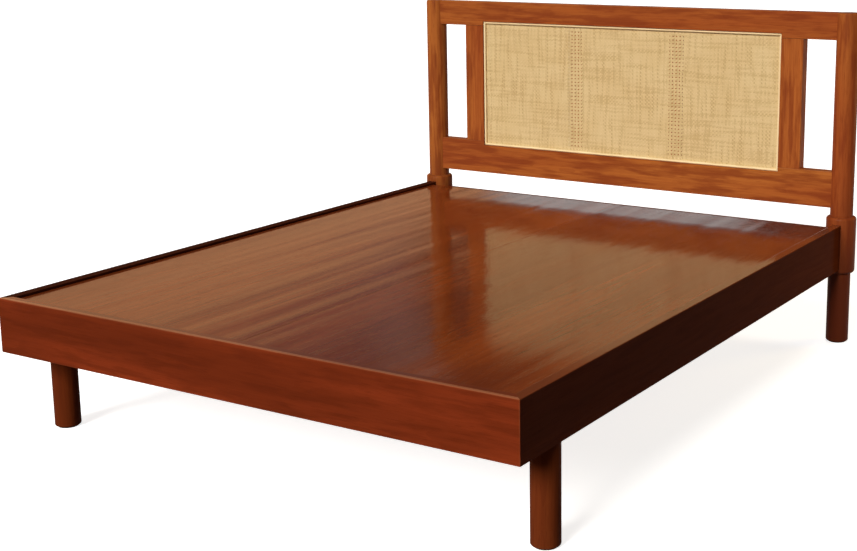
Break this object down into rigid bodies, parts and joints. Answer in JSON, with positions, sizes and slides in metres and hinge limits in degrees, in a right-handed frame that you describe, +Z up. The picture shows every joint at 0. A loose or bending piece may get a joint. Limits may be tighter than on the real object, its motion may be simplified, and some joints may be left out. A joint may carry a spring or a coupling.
{
  "type": "cane bed",
  "caption": "Platform bed with a sunk deck, rails mitred at the foot, and a headboard of woven cane framed between turned posts.",
  "frame": {"origin": "on the floor, under the middle of the bed's outer box", "axes": "+X towards the right side seen from the foot end, +Y from the foot end to the headboard, +Z up"},
  "size_m": [1.74, 2.132, 1.112],
  "materials": {
    "headboard_stain": "orange-brown stain under gloss lacquer",
    "rail_stain": "dark red-brown stain under gloss lacquer",
    "deck_stain": "red-brown stain under high gloss lacquer",
    "leg_stain": "dark red-brown stain under gloss lacquer",
    "plain_wood": "sawn and bare",
    "back_board": "light plywood, matt",
    "cane": "natural woven cane, satin",
    "rattan": "natural split rattan, satin",
    "steel": "zinc plated",
    "felt": "pressed felt"
  },
  "bodies": {
    "root": {"left_post": "headboard_stain", "right_post": "headboard_stain", "headboard_bottom_rail": "headboard_stain", "headboard_top_rail": "headboard_stain", "left_stile": "headboard_stain", "right_stile": "headboard_stain", "muntin_1": "headboard_stain", "muntin_2": "headboard_stain", "footboard": "rail_stain", "left_side_rail": "rail_stain", "right_side_rail": "rail_stain", "head_rail": "rail_stain", "left_deck": "deck_stain", "right_deck": "deck_stain", "left_front_leg": "leg_stain", "right_front_leg": "leg_stain", "centre_leg_1": "leg_stain", "centre_leg_2": "leg_stain", "bearer_1": "plain_wood", "bearer_2": "plain_wood", "bearer_3": "plain_wood", "bearer_4": "plain_wood", "bearer_5": "plain_wood", "bearer_6": "plain_wood", "left_ledger": "plain_wood", "right_ledger": "plain_wood", "centre_beam": "plain_wood", "foot_beam_seat": "plain_wood", "head_beam_seat": "plain_wood", "left_corner_block": "plain_wood", "right_corner_block": "plain_wood", "left_leg_block": "plain_wood", "right_leg_block": "plain_wood", "back_panel": "back_board", "cane_panel": "cane", "bead_bottom": "rattan", "bead_left": "rattan", "bead_right": "rattan", "bead_top": "rattan", "left_high_bed_bolt": "steel", "left_low_bed_bolt": "steel", "left_high_barrel_nut": "steel", "left_low_barrel_nut": "steel", "left_hanger_bolt": "steel", "left_rail_screw": "steel", "left_footboard_screw": "steel", "right_high_bed_bolt": "steel", "right_low_bed_bolt": "steel", "right_high_barrel_nut": "steel", "right_low_barrel_nut": "steel", "right_hanger_bolt": "steel", "right_rail_screw": "steel", "right_footboard_screw": "steel", "left_front_glide": "felt", "right_front_glide": "felt", "left_post_glide": "felt", "right_post_glide": "felt", "centre_glide_1": "felt", "centre_glide_2": "felt"}
  },
  "joints": []
}
